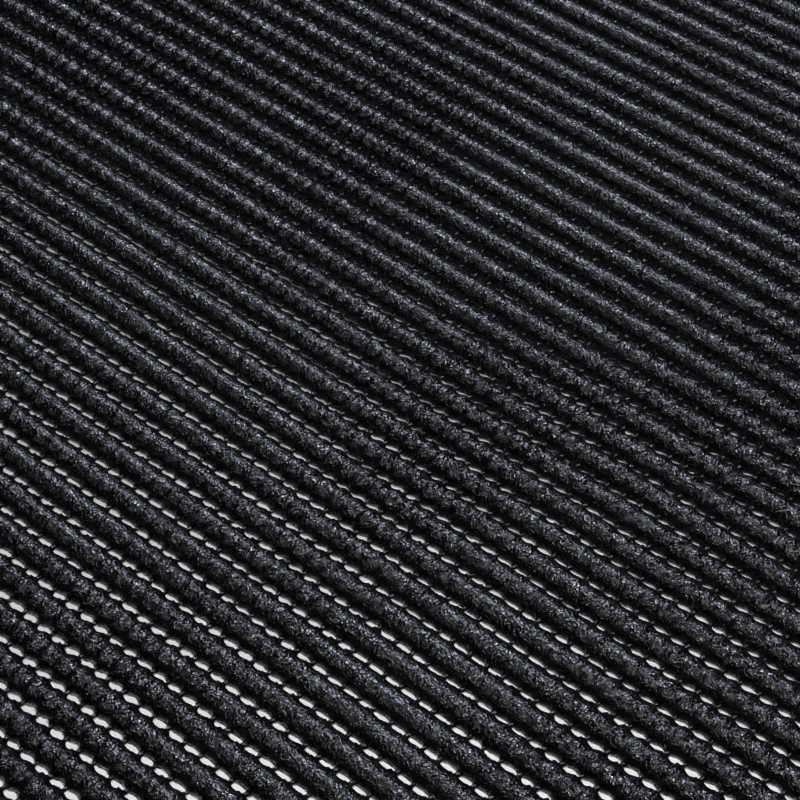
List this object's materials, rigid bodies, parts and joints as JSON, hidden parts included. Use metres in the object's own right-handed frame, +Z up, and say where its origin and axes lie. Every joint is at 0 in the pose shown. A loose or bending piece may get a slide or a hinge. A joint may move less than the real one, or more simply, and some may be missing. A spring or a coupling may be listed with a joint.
{
  "type": "door mat",
  "caption": "Flat non-slip door mat of parallel round foam ribs joined by short links; it bends between ribs and rolls up from one end.",
  "frame": {"origin": "middle of the mat's underside, on the plane it lies on", "axes": "+Z up out of the floor, +Y along the ribs, +X across the ribs towards the free end that rolls up"},
  "size_m": [0.4, 0.6, 0.0064],
  "materials": {
    "foam": "crinkled matt skin on black soft PVC foam"
  },
  "bodies": {
    "rib_01": {"rib_01": "foam"},
    "rib_02": {"rib_02": "foam"},
    "rib_03": {"rib_03": "foam"},
    "rib_04": {"rib_04": "foam"},
    "rib_05": {"rib_05": "foam"},
    "rib_06": {"rib_06": "foam"},
    "rib_07": {"rib_07": "foam"},
    "rib_08": {"rib_08": "foam"},
    "rib_09": {"rib_09": "foam"},
    "rib_10": {"rib_10": "foam"},
    "rib_11": {"rib_11": "foam"},
    "rib_12": {"rib_12": "foam"},
    "rib_13": {"rib_13": "foam"},
    "rib_14": {"rib_14": "foam"},
    "rib_15": {"rib_15": "foam"},
    "rib_16": {"rib_16": "foam"},
    "rib_17": {"rib_17": "foam"},
    "rib_18": {"rib_18": "foam"},
    "rib_19": {"rib_19": "foam"},
    "rib_20": {"rib_20": "foam"},
    "rib_21": {"rib_21": "foam"},
    "rib_22": {"rib_22": "foam"},
    "rib_23": {"rib_23": "foam"},
    "rib_24": {"rib_24": "foam"},
    "rib_25": {"rib_25": "foam"},
    "rib_26": {"rib_26": "foam"},
    "rib_27": {"rib_27": "foam"},
    "rib_28": {"rib_28": "foam"},
    "rib_29": {"rib_29": "foam"},
    "rib_30": {"rib_30": "foam"},
    "rib_31": {"rib_31": "foam"},
    "rib_32": {"rib_32": "foam"},
    "rib_33": {"rib_33": "foam"},
    "rib_34": {"rib_34": "foam"},
    "rib_35": {"rib_35": "foam"},
    "rib_36": {"rib_36": "foam"},
    "rib_37": {"rib_37": "foam"},
    "rib_38": {"rib_38": "foam"},
    "rib_39": {"rib_39": "foam"},
    "rib_40": {"rib_40": "foam"},
    "rib_41": {"rib_41": "foam"},
    "rib_42": {"rib_42": "foam"},
    "rib_43": {"rib_43": "foam"},
    "rib_44": {"rib_44": "foam"},
    "rib_45": {"rib_45": "foam"},
    "rib_46": {"rib_46": "foam"},
    "rib_47": {"rib_47": "foam"},
    "rib_48": {"rib_48": "foam"},
    "rib_49": {"rib_49": "foam"}
  },
  "joints": [
    {"name": "bend_gap_01", "type": "hinge", "parent": "rib_01", "child": "rib_02", "pos_m": [-0.1927, 0, 0.0032], "axis": [0, -1, 0], "range_deg": [0, 12]},
    {"name": "bend_gap_02", "type": "hinge", "parent": "rib_02", "child": "rib_03", "pos_m": [-0.1845, 0, 0.0032], "axis": [0, -1, 0], "range_deg": [0, 12.09]},
    {"name": "bend_gap_03", "type": "hinge", "parent": "rib_03", "child": "rib_04", "pos_m": [-0.1763, 0, 0.0032], "axis": [0, -1, 0], "range_deg": [0, 12.19]},
    {"name": "bend_gap_04", "type": "hinge", "parent": "rib_04", "child": "rib_05", "pos_m": [-0.1681, 0, 0.0032], "axis": [0, -1, 0], "range_deg": [0, 12.28]},
    {"name": "bend_gap_05", "type": "hinge", "parent": "rib_05", "child": "rib_06", "pos_m": [-0.1599, 0, 0.0032], "axis": [0, -1, 0], "range_deg": [0, 12.38]},
    {"name": "bend_gap_06", "type": "hinge", "parent": "rib_06", "child": "rib_07", "pos_m": [-0.1517, 0, 0.0032], "axis": [0, -1, 0], "range_deg": [0, 12.48]},
    {"name": "bend_gap_07", "type": "hinge", "parent": "rib_07", "child": "rib_08", "pos_m": [-0.1435, 0, 0.0032], "axis": [0, -1, 0], "range_deg": [0, 12.58]},
    {"name": "bend_gap_08", "type": "hinge", "parent": "rib_08", "child": "rib_09", "pos_m": [-0.1353, 0, 0.0032], "axis": [0, -1, 0], "range_deg": [0, 12.69]},
    {"name": "bend_gap_09", "type": "hinge", "parent": "rib_09", "child": "rib_10", "pos_m": [-0.1271, 0, 0.0032], "axis": [0, -1, 0], "range_deg": [0, 12.8]},
    {"name": "bend_gap_10", "type": "hinge", "parent": "rib_10", "child": "rib_11", "pos_m": [-0.1189, 0, 0.0032], "axis": [0, -1, 0], "range_deg": [0, 12.91]},
    {"name": "bend_gap_11", "type": "hinge", "parent": "rib_11", "child": "rib_12", "pos_m": [-0.1107, 0, 0.0032], "axis": [0, -1, 0], "range_deg": [0, 13.02]},
    {"name": "bend_gap_12", "type": "hinge", "parent": "rib_12", "child": "rib_13", "pos_m": [-0.1025, 0, 0.0032], "axis": [0, -1, 0], "range_deg": [0, 13.14]},
    {"name": "bend_gap_13", "type": "hinge", "parent": "rib_13", "child": "rib_14", "pos_m": [-0.0943, 0, 0.0032], "axis": [0, -1, 0], "range_deg": [0, 13.25]},
    {"name": "bend_gap_14", "type": "hinge", "parent": "rib_14", "child": "rib_15", "pos_m": [-0.0861, 0, 0.0032], "axis": [0, -1, 0], "range_deg": [0, 13.38]},
    {"name": "bend_gap_15", "type": "hinge", "parent": "rib_15", "child": "rib_16", "pos_m": [-0.0779, 0, 0.0032], "axis": [0, -1, 0], "range_deg": [0, 13.5]},
    {"name": "bend_gap_16", "type": "hinge", "parent": "rib_16", "child": "rib_17", "pos_m": [-0.0697, 0, 0.0032], "axis": [0, -1, 0], "range_deg": [0, 13.63]},
    {"name": "bend_gap_17", "type": "hinge", "parent": "rib_17", "child": "rib_18", "pos_m": [-0.0615, 0, 0.0032], "axis": [0, -1, 0], "range_deg": [0, 13.77]},
    {"name": "bend_gap_18", "type": "hinge", "parent": "rib_18", "child": "rib_19", "pos_m": [-0.0533, 0, 0.0032], "axis": [0, -1, 0], "range_deg": [0, 13.91]},
    {"name": "bend_gap_19", "type": "hinge", "parent": "rib_19", "child": "rib_20", "pos_m": [-0.0451, 0, 0.0032], "axis": [0, -1, 0], "range_deg": [0, 14.05]},
    {"name": "bend_gap_20", "type": "hinge", "parent": "rib_20", "child": "rib_21", "pos_m": [-0.0369, 0, 0.0032], "axis": [0, -1, 0], "range_deg": [0, 14.19]},
    {"name": "bend_gap_21", "type": "hinge", "parent": "rib_21", "child": "rib_22", "pos_m": [-0.0287, 0, 0.0032], "axis": [0, -1, 0], "range_deg": [0, 14.35]},
    {"name": "bend_gap_22", "type": "hinge", "parent": "rib_22", "child": "rib_23", "pos_m": [-0.0205, 0, 0.0032], "axis": [0, -1, 0], "range_deg": [0, 14.5]},
    {"name": "bend_gap_23", "type": "hinge", "parent": "rib_23", "child": "rib_24", "pos_m": [-0.0123, 0, 0.0032], "axis": [0, -1, 0], "range_deg": [0, 14.66]},
    {"name": "bend_gap_24", "type": "hinge", "parent": "rib_24", "child": "rib_25", "pos_m": [-0.0041, 0, 0.0032], "axis": [0, -1, 0], "range_deg": [0, 14.83]},
    {"name": "bend_gap_25", "type": "hinge", "parent": "rib_25", "child": "rib_26", "pos_m": [0.0041, 0, 0.0032], "axis": [0, -1, 0], "range_deg": [0, 15]},
    {"name": "bend_gap_26", "type": "hinge", "parent": "rib_26", "child": "rib_27", "pos_m": [0.0123, 0, 0.0032], "axis": [0, -1, 0], "range_deg": [0, 15.18]},
    {"name": "bend_gap_27", "type": "hinge", "parent": "rib_27", "child": "rib_28", "pos_m": [0.0205, 0, 0.0032], "axis": [0, -1, 0], "range_deg": [0, 15.37]},
    {"name": "bend_gap_28", "type": "hinge", "parent": "rib_28", "child": "rib_29", "pos_m": [0.0287, 0, 0.0032], "axis": [0, -1, 0], "range_deg": [0, 15.56]},
    {"name": "bend_gap_29", "type": "hinge", "parent": "rib_29", "child": "rib_30", "pos_m": [0.0369, 0, 0.0032], "axis": [0, -1, 0], "range_deg": [0, 15.76]},
    {"name": "bend_gap_30", "type": "hinge", "parent": "rib_30", "child": "rib_31", "pos_m": [0.0451, 0, 0.0032], "axis": [0, -1, 0], "range_deg": [0, 15.97]},
    {"name": "bend_gap_31", "type": "hinge", "parent": "rib_31", "child": "rib_32", "pos_m": [0.0533, 0, 0.0032], "axis": [0, -1, 0], "range_deg": [0, 16.18]},
    {"name": "bend_gap_32", "type": "hinge", "parent": "rib_32", "child": "rib_33", "pos_m": [0.0615, 0, 0.0032], "axis": [0, -1, 0], "range_deg": [0, 16.41]},
    {"name": "bend_gap_33", "type": "hinge", "parent": "rib_33", "child": "rib_34", "pos_m": [0.0697, 0, 0.0032], "axis": [0, -1, 0], "range_deg": [0, 16.64]},
    {"name": "bend_gap_34", "type": "hinge", "parent": "rib_34", "child": "rib_35", "pos_m": [0.0779, 0, 0.0032], "axis": [0, -1, 0], "range_deg": [0, 16.89]},
    {"name": "bend_gap_35", "type": "hinge", "parent": "rib_35", "child": "rib_36", "pos_m": [0.0861, 0, 0.0032], "axis": [0, -1, 0], "range_deg": [0, 17.14]},
    {"name": "bend_gap_36", "type": "hinge", "parent": "rib_36", "child": "rib_37", "pos_m": [0.0943, 0, 0.0032], "axis": [0, -1, 0], "range_deg": [0, 17.41]},
    {"name": "bend_gap_37", "type": "hinge", "parent": "rib_37", "child": "rib_38", "pos_m": [0.1025, 0, 0.0032], "axis": [0, -1, 0], "range_deg": [0, 17.69]},
    {"name": "bend_gap_38", "type": "hinge", "parent": "rib_38", "child": "rib_39", "pos_m": [0.1107, 0, 0.0032], "axis": [0, -1, 0], "range_deg": [0, 17.99]},
    {"name": "bend_gap_39", "type": "hinge", "parent": "rib_39", "child": "rib_40", "pos_m": [0.1189, 0, 0.0032], "axis": [0, -1, 0], "range_deg": [0, 18.3]},
    {"name": "bend_gap_40", "type": "hinge", "parent": "rib_40", "child": "rib_41", "pos_m": [0.1271, 0, 0.0032], "axis": [0, -1, 0], "range_deg": [0, 18.63]},
    {"name": "bend_gap_41", "type": "hinge", "parent": "rib_41", "child": "rib_42", "pos_m": [0.1353, 0, 0.0032], "axis": [0, -1, 0], "range_deg": [0, 18.97]},
    {"name": "bend_gap_42", "type": "hinge", "parent": "rib_42", "child": "rib_43", "pos_m": [0.1435, 0, 0.0032], "axis": [0, -1, 0], "range_deg": [0, 19.34]},
    {"name": "bend_gap_43", "type": "hinge", "parent": "rib_43", "child": "rib_44", "pos_m": [0.1517, 0, 0.0032], "axis": [0, -1, 0], "range_deg": [0, 19.73]},
    {"name": "bend_gap_44", "type": "hinge", "parent": "rib_44", "child": "rib_45", "pos_m": [0.1599, 0, 0.0032], "axis": [0, -1, 0], "range_deg": [0, 20.14]},
    {"name": "bend_gap_45", "type": "hinge", "parent": "rib_45", "child": "rib_46", "pos_m": [0.1681, 0, 0.0032], "axis": [0, -1, 0], "range_deg": [0, 20.58]},
    {"name": "bend_gap_46", "type": "hinge", "parent": "rib_46", "child": "rib_47", "pos_m": [0.1763, 0, 0.0032], "axis": [0, -1, 0], "range_deg": [0, 21.04]},
    {"name": "bend_gap_47", "type": "hinge", "parent": "rib_47", "child": "rib_48", "pos_m": [0.1845, 0, 0.0032], "axis": [0, -1, 0], "range_deg": [0, 21.55]},
    {"name": "bend_gap_48", "type": "hinge", "parent": "rib_48", "child": "rib_49", "pos_m": [0.1927, 0, 0.0032], "axis": [0, -1, 0], "range_deg": [0, 22.09]}
  ]
}
